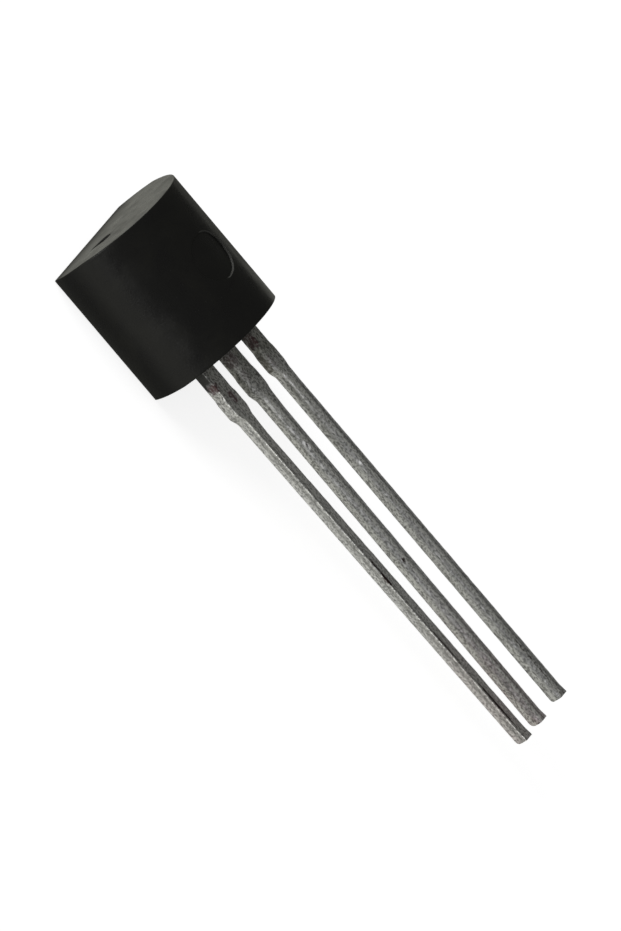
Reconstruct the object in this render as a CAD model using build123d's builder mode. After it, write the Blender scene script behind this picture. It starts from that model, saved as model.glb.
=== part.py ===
from build123d import *
import math
import os

# Voltage reference chip in a moulded, D-section, three-lead through-hole package.
# It lies on its flat: the flat is on Z = 0, the leads point along +X and the lead row
# runs along Y. The origin is in the middle of the flat. Millimetres and degrees.

# ---- Driving dimensions ----

# Moulded body
BODY_LENGTH = 4.685  # top end face to seat end face, at the parting line
BACK_RADIUS = 2.37  # round back
FLAT_TO_AXIS = 1.14  # flat to the axis of the round back
FLAT_TO_PARTING = 1.46  # flat to the parting line, the middle of the lead frame
FLAT_TOP_DRAFT = 2.0  # top end face, from the parting line towards the flat
FLAT_SEAT_DRAFT = 2.1  # seat end face, from the parting line towards the flat
ROUND_TOP_DRAFT = 1.6  # top end face, from the parting line towards the back
ROUND_SEAT_DRAFT = 0.7  # seat end face, from the parting line towards the back
MOULD_EDGE_BREAK = 0.015  # blunted edges at the bottom of each mould half
EJECTOR_RADIUS = 0.78  # mark of the ejector pin, half way along the back
EJECTOR_DEPTH = 0.07  # the end of the pin is ground to the round of the back
GATE_RADIUS = 0.34  # crater where the moulding gate broke away
GATE_DEPTH = 0.13
GATE_TAPER = 12
GATE_Y = -1.24  # across the leads
GATE_ABOVE_PARTING = 0.06

# Lead frame, stamped from one strip
STRIP_THICKNESS = 0.37
STAMPING_ROLL = 0.03  # blunted edges of the face where the punch came in
LEAD_PITCH = 1.27
LEFT_LEAD_WIDTH = 0.355
CENTRE_LEAD_WIDTH = 0.385
RIGHT_LEAD_WIDTH = 0.39
LEAD_LENGTH = 14.7  # seat end face to the sheared tip of the middle lead
SHEAR_SLANT = 1.5  # the shear that cut the tips ran across the row at this angle
LEFT_SHOULDER_WIDTH = 0.57
CENTRE_SHOULDER_WIDTH = 0.55
RIGHT_SHOULDER_WIDTH = 0.5
DAM_START = 1.17  # seat end face to the trimmed dam bar
DAM_LENGTH = 0.57
DAM_STUB = 0.035  # what the trim leaves standing on each side of a shoulder
DAM_RAMP = 0.12  # length over which a shoulder widens to the stub
SHOULDER_TAPER = 0.25  # length over which a shoulder narrows to the lead
SHOULDER_BLEND = 0.15  # radius of the bends in the outline of a shoulder
NECK_SWELL = 0.05  # the far side of the neck is fuller by this
NECK_SWELL_LENGTH = 0.75  # length over which the swell dies out along the lead
TIP_ROLL = 0.13  # radius of the bottom edge of a tip, where the shear came in
TIP_BURR = 0.035  # upward flare of a tip, where the shear went out
TIP_BURR_LENGTH = 0.3
LEFT_TIP_SHIFT = 0.29  # the left lead is bent towards the middle one
RIGHT_NECK_SHIFT = 0.03  # the right lead is bent slightly outwards
RIGHT_TIP_SHIFT = 0.1
LOCK_RADIUS = 0.09  # notches that lock the frame in the resin
LOCK_DEPTH = 0.75  # seat end face to the notches

# Die paddle and bond posts
PADDLE_LENGTH = 1.9
PADDLE_WIDTH = 1.6
PADDLE_INSET = 0.62  # top end face to the paddle
POST_LENGTH = 1.25
POST_WIDTH = 0.8
POST_INSET = 1.55  # top end face to the posts
POST_GAP = 0.22  # paddle to post
FRAME_CORNER_RADIUS = 0.12

# Die
DIE_LENGTH = 1.05
DIE_WIDTH = 0.95
DIE_THICKNESS = 0.25
ATTACH_THICKNESS = 0.03
ATTACH_MARGIN = 0.06  # squeezed out round the die

# Bond wires
WIRE_DIAMETER = 0.03
WIRE_RISE = 0.16  # top of the loop over the die
WIRE_KNEE_DROP = 0.03  # top of the loop to its knee
WIRE_KNEE = 0.4  # share of the span at which the wire turns down
WIRE_BEND = 0.05  # how far the loop turns over above the ball
BALL_RADIUS = 0.045
BALL_HEIGHT = 0.022
PAD_INSET = 0.13  # edge of the die to a bond pad
LEFT_PAD_X = -0.25  # from the middle of the die
RIGHT_PAD_X = 0.2
GROUND_PAD_Y = 0.1
POST_LANDING = 0.3  # inner edge of a post to the stitch
PADDLE_LANDING = 0.2  # edge of the die to the stitch of the ground wire

# ---- Places that follow from them ----

TOP_X = -BODY_LENGTH / 2
SEAT_X = BODY_LENGTH / 2
BACK_Z = FLAT_TO_AXIS + BACK_RADIUS
PARTING_PLANE = Plane.XY.offset(FLAT_TO_PARTING)
FRAME_FACE_Z = FLAT_TO_PARTING - STRIP_THICKNESS / 2  # the face that carries the die
FRAME_BACK_Z = FRAME_FACE_Z + STRIP_THICKNESS
DIE_SEAT_Z = FRAME_FACE_Z - ATTACH_THICKNESS
DIE_FACE_Z = DIE_SEAT_Z - DIE_THICKNESS
DIE_X = TOP_X + PADDLE_INSET + PADDLE_LENGTH / 2
POST_X = TOP_X + POST_INSET + POST_LENGTH / 2
POST_INNER_Y = PADDLE_WIDTH / 2 + POST_GAP


# ---- Lead frame ----


def sheared_point(y):
    """Where the shear that cut the tips passed at y."""
    return (SEAT_X + LEAD_LENGTH + y * math.tan(math.radians(SHEAR_SLANT)), y)


def stamped_lead(
    row_y, lead_width, shoulder_width, neck_shift, tip_shift, head_size, head_place
):
    """One lead with the head it ends in inside the body: the die paddle or a bond post."""
    half_lead = lead_width / 2
    shoulder = shoulder_width / 2
    stub = shoulder + DAM_STUB
    stub_x = SEAT_X + DAM_START
    ramp_x = stub_x - DAM_RAMP
    trim_x = stub_x + DAM_LENGTH
    neck_x = trim_x + SHOULDER_TAPER
    swell_x = neck_x + NECK_SWELL_LENGTH
    neck_y = row_y + neck_shift
    tip_y = row_y + tip_shift
    tip_x = sheared_point(tip_y)[0]
    swell_y = neck_y + (tip_y - neck_y) * NECK_SWELL_LENGTH / (tip_x - neck_x)
    head_x = head_place[0]
    with BuildPart() as lead:
        with BuildSketch(PARTING_PLANE) as blank:
            with BuildLine():
                Polyline(
                    (head_x, row_y - shoulder),
                    (ramp_x, row_y - shoulder),
                    (stub_x, row_y - stub),
                    (trim_x, row_y - stub),
                    (neck_x, neck_y - half_lead),
                    sheared_point(tip_y - half_lead),
                    sheared_point(tip_y + half_lead),
                    (swell_x, swell_y + half_lead),
                    (neck_x, neck_y + half_lead + NECK_SWELL),
                    (trim_x, row_y + stub),
                    (stub_x, row_y + stub),
                    (ramp_x, row_y + shoulder),
                    (head_x, row_y + shoulder),
                    close=True,
                )
            make_face()
            bends = blank.vertices().filter_by_position(Axis.X, ramp_x, neck_x)
            fillet(bends, SHOULDER_BLEND)
            with Locations(head_place):
                RectangleRounded(*head_size, FRAME_CORNER_RADIUS)
            with Locations((SEAT_X - LOCK_DEPTH, row_y)):
                with GridLocations(0, shoulder_width, 1, 2):
                    Circle(LOCK_RADIUS, mode=Mode.SUBTRACT)
        extrude(amount=STRIP_THICKNESS / 2 + 2 * TIP_BURR, both=True)
        # the thickness of the strip, seen from the side, with the flare that runs out of the tip
        with BuildSketch(Plane.XZ):
            with BuildLine():
                Polyline(
                    (TOP_X, FRAME_FACE_Z),
                    (tip_x + TIP_BURR_LENGTH, FRAME_FACE_Z),
                    (tip_x + TIP_BURR_LENGTH, FRAME_BACK_Z + 2 * TIP_BURR),
                    (tip_x - TIP_BURR_LENGTH, FRAME_BACK_Z),
                    (TOP_X, FRAME_BACK_Z),
                    close=True,
                )
            make_face()
        extrude(amount=BACK_RADIUS, both=True, mode=Mode.INTERSECT)
        sheared_end = lead.faces().sort_by(Axis.X)[-1]
        fillet(sheared_end.edges().sort_by(Axis.Z)[0], TIP_ROLL)
        punched_face = lead.faces().filter_by(Axis.Z).sort_by(Axis.Z)[-1]
        punched_edges = punched_face.edges().sort_by(Axis.X)[:-1]
        chamfer(punched_edges, STAMPING_ROLL)
    return lead.part


def side_lead(side, lead_width, shoulder_width, neck_shift, tip_shift):
    """A lead that ends in a bond post beside the paddle, on side -1 or +1 of the row."""
    post_y = side * (POST_INNER_Y + POST_WIDTH / 2)
    return stamped_lead(
        side * LEAD_PITCH,
        lead_width,
        shoulder_width,
        neck_shift,
        tip_shift,
        (POST_LENGTH, POST_WIDTH),
        (POST_X, post_y),
    )


left_lead = side_lead(-1, LEFT_LEAD_WIDTH, LEFT_SHOULDER_WIDTH, 0, LEFT_TIP_SHIFT)
right_lead = side_lead(
    1, RIGHT_LEAD_WIDTH, RIGHT_SHOULDER_WIDTH, RIGHT_NECK_SHIFT, RIGHT_TIP_SHIFT
)
centre_lead = stamped_lead(
    0, CENTRE_LEAD_WIDTH, CENTRE_SHOULDER_WIDTH, 0, 0, (PADDLE_LENGTH, PADDLE_WIDTH), (DIE_X, 0)
)


# ---- Die, on the side of the frame that faces the flat ----

with BuildPart() as die_attach:
    with BuildSketch(Plane.XY.offset(DIE_SEAT_Z)):
        with Locations((DIE_X, 0)):
            RectangleRounded(
                DIE_LENGTH + 2 * ATTACH_MARGIN, DIE_WIDTH + 2 * ATTACH_MARGIN, ATTACH_MARGIN
            )
    extrude(amount=ATTACH_THICKNESS)

with BuildPart() as silicon_die:
    with BuildSketch(Plane.XY.offset(DIE_FACE_Z)):
        with Locations((DIE_X, 0)):
            Rectangle(DIE_LENGTH, DIE_WIDTH)
    extrude(amount=DIE_THICKNESS)


# ---- Bond wires ----


def bond_wire(pad, landing):
    """Gold wire from a ball on the die at pad, over a loop, to a stitch on the frame at landing."""
    run = Vector(*landing) - Vector(*pad)
    span = run.length
    pad_rise = FRAME_FACE_Z - DIE_FACE_Z
    loop_rise = pad_rise + WIRE_RISE
    loop_plane = Plane(
        origin=(*pad, FRAME_FACE_Z), x_dir=run, z_dir=Vector(-run.Y, run.X, 0)
    )
    with BuildPart() as wire:
        with BuildLine(loop_plane) as route:
            Polyline(
                (0, pad_rise),
                (0, loop_rise - WIRE_BEND),
                (WIRE_BEND, loop_rise),
                (WIRE_KNEE * span, loop_rise - WIRE_KNEE_DROP),
                (span, -WIRE_DIAMETER),
            )
        with BuildSketch(Plane(origin=route.line @ 0, z_dir=route.line % 0)):
            Circle(WIRE_DIAMETER / 2)
        sweep(transition=Transition.RIGHT)
        with BuildSketch(Plane.XY.offset(DIE_FACE_Z)):
            with Locations(pad):
                Circle(BALL_RADIUS)
        extrude(amount=-BALL_HEIGHT)
        # the stitch is the end of the wire, pressed flush on the frame
        split(bisect_by=Plane.XY.offset(FRAME_FACE_Z), keep=Keep.BOTTOM)
    return wire.part


side_pad_y = DIE_WIDTH / 2 - PAD_INSET
side_landing_y = POST_INNER_Y + POST_LANDING
die_edge_x = DIE_X + DIE_LENGTH / 2
left_bond_wire = bond_wire((DIE_X + LEFT_PAD_X, -side_pad_y), (POST_X, -side_landing_y))
right_bond_wire = bond_wire((DIE_X + RIGHT_PAD_X, side_pad_y), (POST_X, side_landing_y))
ground_bond_wire = bond_wire(
    (die_edge_x - PAD_INSET, GROUND_PAD_Y), (die_edge_x + PADDLE_LANDING, GROUND_PAD_Y)
)


# ---- Moulded body ----


def draft_ends(half, draw_plane, top_draft, seat_draft):
    """Draft both end faces of a mould half, so that it narrows the way it leaves the mould."""
    draft(half.faces().sort_by(Axis.X)[0], draw_plane, top_draft)
    draft(half.faces().sort_by(Axis.X)[-1], draw_plane, seat_draft)


def blunt(half, draw_plane, seams):
    """Blunt the edges of a mould half, apart from its seams and those of its parting face."""
    parting_face = half.faces().filter_by(draw_plane).sort_by_distance(draw_plane.origin)[0]
    chamfer(half.edges() - parting_face.edges() - seams, MOULD_EDGE_BREAK)


# The half towards the flat has upright sides down to the axis of the back, so that it
# leaves its mould. It stands proud of the round half by a hair all along the parting line.
with BuildPart() as flat_half:
    with BuildSketch(Plane.YZ):
        with Locations((0, FLAT_TO_AXIS)):
            Circle(BACK_RADIUS)
            Rectangle(2 * BACK_RADIUS, BACK_RADIUS, align=(Align.CENTER, Align.MIN))
        Rectangle(
            2 * BACK_RADIUS,
            FLAT_TO_PARTING,
            align=(Align.CENTER, Align.MIN),
            mode=Mode.INTERSECT,
        )
    extrude(amount=BODY_LENGTH / 2, both=True)
    draft_ends(flat_half, -PARTING_PLANE, FLAT_TOP_DRAFT, FLAT_SEAT_DRAFT)
    side_seams = (
        flat_half.edges()
        .filter_by(Axis.X)
        .filter_by_position(Axis.Z, FLAT_TO_AXIS, FLAT_TO_AXIS)
    )
    blunt(flat_half, -PARTING_PLANE, side_seams)

with BuildPart() as round_half:
    with BuildSketch(Plane.YZ):
        with Locations((0, FLAT_TO_AXIS)):
            Circle(BACK_RADIUS)
        with Locations((0, FLAT_TO_PARTING)):
            Rectangle(
                2 * BACK_RADIUS,
                BACK_RADIUS,
                align=(Align.CENTER, Align.MIN),
                mode=Mode.INTERSECT,
            )
    extrude(amount=BODY_LENGTH / 2, both=True)
    draft_ends(round_half, PARTING_PLANE, ROUND_TOP_DRAFT, ROUND_SEAT_DRAFT)
    blunt(round_half, PARTING_PLANE, ShapeList())

with BuildPart() as ejector_pin:
    with BuildSketch(Plane.XY.offset(FLAT_TO_AXIS)):
        Circle(EJECTOR_RADIUS)
    extrude(amount=2 * BACK_RADIUS)
    with BuildSketch(Plane.YZ):
        with Locations((0, FLAT_TO_AXIS)):
            Circle(BACK_RADIUS - EJECTOR_DEPTH)
    extrude(amount=BODY_LENGTH / 2, both=True, mode=Mode.SUBTRACT)

with BuildPart() as moulded_body:
    add(flat_half.part)
    add(round_half.part)
    add(ejector_pin.part, mode=Mode.SUBTRACT)
    gate_place = (TOP_X, GATE_Y, FLAT_TO_PARTING + GATE_ABOVE_PARTING)
    with BuildSketch(Plane(origin=gate_place, z_dir=(1, 0, 0))):
        Circle(GATE_RADIUS)
    extrude(amount=GATE_DEPTH, taper=GATE_TAPER, mode=Mode.SUBTRACT)
    embedded = [
        left_lead,
        centre_lead,
        right_lead,
        die_attach.part,
        silicon_die.part,
        left_bond_wire,
        right_bond_wire,
        ground_bond_wire,
    ]
    add(embedded, mode=Mode.SUBTRACT)


# ---- Write one STEP for each piece ----

pieces = {
    "moulded_body": moulded_body.part,
    "left_lead": left_lead,
    "centre_lead": centre_lead,
    "right_lead": right_lead,
    "die_attach": die_attach.part,
    "silicon_die": silicon_die.part,
    "left_bond_wire": left_bond_wire,
    "right_bond_wire": right_bond_wire,
    "ground_bond_wire": ground_bond_wire,
}
os.makedirs("parts", exist_ok=True)
for name, piece in pieces.items():
    piece.label = name
    export_step(piece, f"parts/{name}.step")
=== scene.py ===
"""Dressed model of a voltage reference in a moulded three-lead package.

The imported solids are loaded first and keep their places. The housing and the
three leads are built again as finer skins of the same form. The die, the layer
that holds it and the bond wires keep their own meshes and get a finish here.
Lengths are in millimetres until a skin becomes an object, and in metres then.
"""

import logging
import math
from collections.abc import Callable, Sequence
from dataclasses import dataclass, field
from enum import Enum, StrEnum

import bmesh
import bpy
from mathutils import Matrix, Quaternion, Vector, noise


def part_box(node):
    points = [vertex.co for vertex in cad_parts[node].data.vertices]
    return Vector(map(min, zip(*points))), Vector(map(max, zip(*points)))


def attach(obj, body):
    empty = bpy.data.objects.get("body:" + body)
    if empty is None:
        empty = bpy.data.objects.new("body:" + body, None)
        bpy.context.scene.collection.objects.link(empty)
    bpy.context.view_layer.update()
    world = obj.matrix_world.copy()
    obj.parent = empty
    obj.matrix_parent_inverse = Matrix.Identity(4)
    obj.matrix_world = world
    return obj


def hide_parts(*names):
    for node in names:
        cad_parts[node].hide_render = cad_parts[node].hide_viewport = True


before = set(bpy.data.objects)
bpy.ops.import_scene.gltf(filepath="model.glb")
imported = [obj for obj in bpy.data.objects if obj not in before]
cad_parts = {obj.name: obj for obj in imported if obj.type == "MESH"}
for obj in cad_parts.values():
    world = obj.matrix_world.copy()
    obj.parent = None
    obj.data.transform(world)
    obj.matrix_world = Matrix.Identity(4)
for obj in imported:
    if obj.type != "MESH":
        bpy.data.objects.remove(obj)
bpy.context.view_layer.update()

MM = 0.001
BODY = "root"
SHARP = math.radians(40.0)
QUARTER = math.pi / 2
BLACK = (0.0, 0.0, 0.0, 1.0)
WHITE = (1.0, 1.0, 1.0, 1.0)
log = logging.getLogger("voltage_reference")

Material = bpy.types.Material
Object = bpy.types.Object
Colour = tuple[float, float, float, float]
Pair = tuple[float, float]
Triple = tuple[float, float, float]
Hole = tuple[int, int, int, int]
Sockets = dict[str | int, object]
Operand = "Value | float"


# ---- shader maths


@dataclass(frozen=True, eq=False)
class Value:
    """A shader socket; arithmetic on it adds Math nodes."""

    shader: "Shader"
    socket: bpy.types.NodeSocket

    def _math(self, operation: str, first: Operand, second: Operand) -> "Value":
        """Add a Math node with this operation and these operands."""
        settings = {"operation": operation}
        return self.shader.add("ShaderNodeMath", settings, {0: first, 1: second})

    def __add__(self, other: Operand) -> "Value":
        """Sum."""
        return self._math("ADD", self, other)

    __radd__ = __add__

    def __sub__(self, other: Operand) -> "Value":
        """Difference."""
        return self._math("SUBTRACT", self, other)

    def __rsub__(self, other: Operand) -> "Value":
        """Difference, reflected."""
        return self._math("SUBTRACT", other, self)

    def __mul__(self, other: Operand) -> "Value":
        """Product."""
        return self._math("MULTIPLY", self, other)

    __rmul__ = __mul__

    def either(self, other: Operand) -> "Value":
        """The larger of two."""
        return self._math("MAXIMUM", self, other)

    def step(self, start: float, end: float, low: float = 0.0, high: float = 1.0) -> "Value":
        """Go smoothly from low to high as the value goes from start to end.

        Args:
            start: value at which the step begins.
            end: value at which it is over; it may be below start.
            low: result before the step.
            high: result after the step.

        Returns:
            The stepped value.
        """
        if start > end:
            start, end, low, high = end, start, high, low
        return self.shader.add(
            "ShaderNodeMapRange",
            {"interpolation_type": "SMOOTHSTEP"},
            {"Value": self, 1: start, 2: end, 3: low, 4: high},
        )


class Shader:
    """Node tree of one material or world."""

    def __init__(self, tree: bpy.types.NodeTree) -> None:
        """Empty the tree and hold it."""
        tree.nodes.clear()
        self.tree = tree

    def add(
        self,
        kind: str,
        settings: dict[str, object] | None = None,
        sockets: Sockets | None = None,
        output: str | int = 0,
    ) -> Value:
        """Add any node.

        Args:
            kind: Blender's type of the node.
            settings: its properties, set first.
            sockets: values or links of its inputs.
            output: the output that is wanted.

        Returns:
            That output.
        """
        node = self.tree.nodes.new(kind)
        for name, setting in (settings or {}).items():
            setattr(node, name, setting)
        for name, given in (sockets or {}).items():
            if isinstance(given, Value):
                self.tree.links.new(given.socket, node.inputs[name])
            else:
                node.inputs[name].default_value = given
        return Value(self, node.outputs[output] if node.outputs else node.inputs[0])

    def place(self, stretch: Triple = (1.0, 1.0, 1.0)) -> Value:
        """Place on the piece in millimetres, with each axis multiplied by its stretch."""
        factors = {0: self.add("ShaderNodeTexCoord", output="Object"), 1: [s / MM for s in stretch]}
        return self.add("ShaderNodeVectorMath", {"operation": "MULTIPLY"}, factors)

    def axis(self, name: str, place: Value | None = None) -> Value:
        """One coordinate of a place, or of the place on the piece in millimetres."""
        return self.add("ShaderNodeSeparateXYZ", None, {0: place or self.place()}, name)

    def mask(self, name: str) -> Value:
        """A mask painted on the vertices of a skin."""
        return self.add("ShaderNodeAttribute", {"attribute_name": name}, None, "Fac")

    def noise(
        self,
        scale: float,
        detail: float = 3.0,
        stretch: Triple = (1.0, 1.0, 1.0),
        distortion: float = 0.0,
        finer: float = 0.55,
    ) -> Value:
        """Soft noise.

        Args:
            scale: features for each millimetre.
            detail: number of finer layers.
            stretch: multiplies each axis.
            distortion: how far the noise is swirled.
            finer: strength of each finer layer against the last.

        Returns:
            The noise, from 0 to 1.
        """
        sockets = {"Vector": self.place(stretch), "Scale": scale, "Detail": detail}
        sockets |= {"Roughness": finer, "Distortion": distortion}
        return self.add("ShaderNodeTexNoise", None, sockets)

    def mix(self, share: Operand, first: Value | Colour, second: Value | Colour) -> Value:
        """Mix two colours; the share is how much there is of the second."""
        sockets = {0: share, 6: first, 7: second}
        return self.add("ShaderNodeMix", {"data_type": "RGBA"}, sockets, 2)

    def bump(self, height: Value, distance: float, under: Value | None = None) -> Value:
        """Normal of a relief of this height and distance, over that of a coarser one."""
        sockets: Sockets = {"Height": height, "Distance": distance * MM}
        return self.add("ShaderNodeBump", None, sockets | ({"Normal": under} if under else {}))

    def surface(self, sockets: Sockets) -> None:
        """Finish the tree with a Principled shader that has these sockets."""
        skin = self.add("ShaderNodeBsdfPrincipled", None, sockets)
        self.add("ShaderNodeOutputMaterial", None, {"Surface": skin})


def new_material(name: str) -> tuple[Material, Shader]:
    """Make an empty material with nodes.

    Args:
        name: name of the material.

    Returns:
        The material and its shader.
    """
    material = bpy.data.materials.new(name)
    material.use_nodes = True
    return material, Shader(material.node_tree)


# ---- finishes


@dataclass(frozen=True)
class BlackEpoxy:
    """Silica-filled epoxy with the spark-eroded grain of its mould, and a painted highlight on the
    rim of the ejector mark.
    """

    colour: Colour = (0.0080, 0.0080, 0.0077, 1.0)
    cloudy: Colour = (0.0100, 0.0100, 0.0088, 1.0)
    torn: Colour = (0.020, 0.019, 0.018, 1.0)
    rubbed: Colour = (0.057, 0.057, 0.053, 1.0)
    roughness: float = 0.245
    gloss: float = 0.14
    grain: float = 24.0
    grain_depth: float = 0.0016
    swirl_depth: float = 0.004

    def material(self) -> Material:
        """Build the material.

        Returns:
            The material.
        """
        material, shader = new_material("black_epoxy")
        torn = shader.mask("torn")
        clouds = shader.noise(1.1, 5.0, distortion=0.6).step(0.38, 0.72)
        flow = shader.noise(2.4, 4.0, (0.5, 1.0, 1.0)).step(0.45, 0.75)
        filler = shader.noise(46.0, 2.0).step(0.58, 0.74)
        grain = shader.noise(self.grain)
        swirl = shader.noise(7.0, 4.0, distortion=1.2)
        # Painted highlight along the far side of the ejector mark's rim, where it faces the light.
        rubbed = (shader.mask("rubbed") * (0.45 + 0.9 * swirl)).step(0.35, 0.95)
        base = shader.mix(clouds * 0.8, self.colour, self.cloudy)
        base = shader.mix(filler * (0.12 + 0.5 * torn), base, self.torn)
        base = shader.mix(torn * (0.35 + 0.65 * swirl), base, self.torn)
        base = shader.mix(rubbed, base, self.rubbed)
        coarse = shader.bump(swirl, self.swirl_depth)
        roughness = self.roughness + 0.09 * clouds + 0.07 * flow + 0.05 * grain + 0.35 * torn
        sockets = {"Base Color": base, "Roughness": roughness, "Specular IOR Level": self.gloss}
        grain = grain * (1.0 + 2.5 * torn)
        shader.surface(sockets | {"Normal": shader.bump(grain, self.grain_depth, coarse)})
        return material


@dataclass(frozen=True)
class TinPlate:
    """Tin plating over a stamped and drawn lead, stained near the body."""

    bright: Colour = (0.69, 0.69, 0.71, 1.0)
    dull: Colour = (0.42, 0.42, 0.43, 1.0)
    speck: Colour = (0.13, 0.13, 0.125, 1.0)
    glint: Colour = (0.93, 0.93, 0.93, 1.0)
    olive: Colour = (0.22, 0.22, 0.185, 1.0)
    rust: Colour = (0.048, 0.015, 0.015, 1.0)
    pit: Colour = (0.045, 0.030, 0.030, 1.0)
    blush: Colour = (0.56, 0.48, 0.50, 1.0)
    resin: Colour = (0.004, 0.004, 0.003, 1.0)
    sheared: Colour = (0.20, 0.19, 0.17, 1.0)
    coarse_depth: float = 0.012
    drawn_depth: float = 0.004
    speckle_depth: float = 0.007

    def material(self) -> Material:
        """Build the material.

        Returns:
            The material.
        """
        material, shader = new_material("tin_plate")
        mask, mix, noisy = shader.mask, shader.mix, shader.noise
        rolled, sheared, stain, dent = map(mask, ("rolled", "sheared", "stain", "dent"))
        streaks = noisy(9.0, 5.0, (0.12, 1.0, 1.0)).step(0.35, 0.70)
        blotch = noisy(1.6, 5.0, (0.6, 1.0, 1.0), distortion=0.8).step(0.42, 0.66)
        speckle = noisy(20.0, 2.0, (0.6, 1.0, 1.0))
        dark_specks, light_specks = speckle.step(0.50, 0.60), speckle.step(0.47, 0.37)
        drawn = noisy(24.0, 3.0, (0.08, 1.0, 1.0))
        ragged = noisy(6.0, 4.0)
        cover = stain * (0.70 + 0.30 * blotch)
        rusty = (mask("rust") * (0.15 + 1.5 * ragged)).step(0.10, 1.0)
        pitted = (mask("pit") * (0.9 * ragged + 1.1 * speckle)).step(0.30, 0.85)
        coated = (mask("film") * (0.45 + 1.1 * ragged)).step(0.30, 0.85) * (1.0 - 0.85 * rusty)
        base = mix(streaks * 0.45 + blotch * 0.2, self.bright, self.dull)
        layers = (
            (drawn.step(0.52, 0.66) * 0.4, self.dull),
            (mask("blush") * (0.55 + 0.45 * blotch), self.blush),
            (cover, self.olive),
            # Bands of painted highlight along the lead.
            (mask("polished") * (0.4 + 1.4 * ragged), self.glint),
            (dark_specks * (0.60 + 0.2 * stain), self.speck),
            (light_specks * 0.42 * (1.0 - 0.5 * stain), self.glint),
            (sheared * (0.75 - 0.35 * light_specks), self.sheared),
            # Painted highlight dotted along the rolled edges.
            (rolled * light_specks * 0.5 * (1.0 - stain), self.glint),
            # Painted highlight on the left ridge just past the neck.
            (mask("shine") * (0.5 + 0.5 * light_specks), self.glint),
            # Bands of painted shade along the lead.
            (mask("worn") * (0.4 + 1.2 * ragged), self.speck),
            # Painted highlight where a dent catches the light: white, and less metallic.
            (dent, self.glint),
            (rusty * (0.95 - 0.4 * light_specks), self.rust),
            (pitted, self.pit),
            (coated, self.resin),
        )
        for share, colour in layers:
            base = mix(share, base, colour)
        metal = (1.0 - coated) * (1.0 - 0.40 * cover) * (1.0 - rusty) * (1.0 - 0.7 * dent)
        roughness = 0.36 + 0.12 * streaks + 0.10 * blotch + 0.12 * dark_specks
        roughness = roughness + 0.10 * stain + 0.17 * mask("matt") + 0.2 * dent
        relief = shader.bump(noisy(3.2, 4.0, (0.35, 1.0, 1.0)), self.coarse_depth)
        relief = shader.bump(drawn, self.drawn_depth, relief)
        relief = shader.bump(speckle, self.speckle_depth, relief)
        shader.surface(
            {"Base Color": base, "Metallic": metal, "Roughness": roughness, "Normal": relief}
        )
        return material


@dataclass(frozen=True)
class SilverPaste:
    """Cured silver-filled epoxy under the die."""

    colour: Colour = (0.46, 0.45, 0.43, 1.0)
    binder: Colour = (0.24, 0.22, 0.19, 1.0)
    flake_depth: float = 0.003

    def material(self) -> Material:
        """Build the material.

        Returns:
            The material.
        """
        material, shader = new_material("silver_paste")
        flakes = shader.noise(60.0)
        base = shader.mix(flakes.step(0.4, 0.65), self.binder, self.colour)
        sockets = {"Base Color": base, "Metallic": flakes.step(0.42, 0.6) * 0.7}
        sockets |= {"Roughness": 0.55 - 0.15 * flakes}
        shader.surface(sockets | {"Normal": shader.bump(flakes, self.flake_depth)})
        return material


@dataclass(frozen=True)
class DieSilicon:
    """Sawn silicon, polished grey under a thin oxide."""

    colour: Colour = (0.090, 0.098, 0.115, 1.0)
    oxide: Colour = (0.16, 0.12, 0.15, 1.0)
    saw_depth: float = 0.0008

    def material(self) -> Material:
        """Build the material.

        Returns:
            The material.
        """
        material, shader = new_material("die_silicon")
        bloom = shader.noise(2.2)
        saw = shader.noise(70.0, 2.0, (1.0, 1.0, 0.1))
        base = shader.mix(bloom.step(0.35, 0.7), self.colour, self.oxide)
        sockets = {"Base Color": base, "Metallic": 0.3 + 0.2 * bloom}
        sockets |= {"Roughness": 0.16 + 0.16 * saw}
        shader.surface(sockets | {"Normal": shader.bump(saw, self.saw_depth)})
        return material


@dataclass(frozen=True)
class GoldWire:
    """Drawn gold bond wire."""

    colour: Colour = (0.92, 0.68, 0.30, 1.0)
    shade: Colour = (0.74, 0.50, 0.20, 1.0)
    drawn_depth: float = 0.0006

    def material(self) -> Material:
        """Build the material.

        Returns:
            The material.
        """
        material, shader = new_material("gold_wire")
        drawn = shader.noise(50.0)
        base = shader.mix(drawn.step(0.3, 0.7), self.shade, self.colour)
        sockets = {"Base Color": base, "Metallic": 1.0, "Roughness": 0.22 + 0.14 * drawn}
        shader.surface(sockets | {"Normal": shader.bump(drawn, self.drawn_depth)})
        return material


# ---- skins


def rough(place: Sequence[float], scale: float, seed: float) -> float:
    """Noise from -1 to 1 at a place in millimetres; the seed makes pieces differ."""
    return noise.fractal(Vector(place) * scale + Vector((seed, 7.3, 1.9)), 0.6, 2.1, 4)


def spread(start: float, end: float, count: int) -> list[float]:
    """Even steps from start to end, both included, count steps in all."""
    return [start + (end - start) * i / count for i in range(count + 1)]


def clamp(share: float) -> float:
    """The share, held between 0 and 1."""
    return min(1.0, max(0.0, share))


def ray(turn: float) -> Pair:
    """The two parts of a unit length at a turn in radians."""
    return math.cos(turn), math.sin(turn)


def neighbours(row: Sequence[int], closed: bool) -> list[tuple[int, int]]:
    """Each point of a row with its next one; a closed row runs round to its start."""
    return list(zip(row, [*row[1:], *row[: int(closed)]]))


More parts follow.
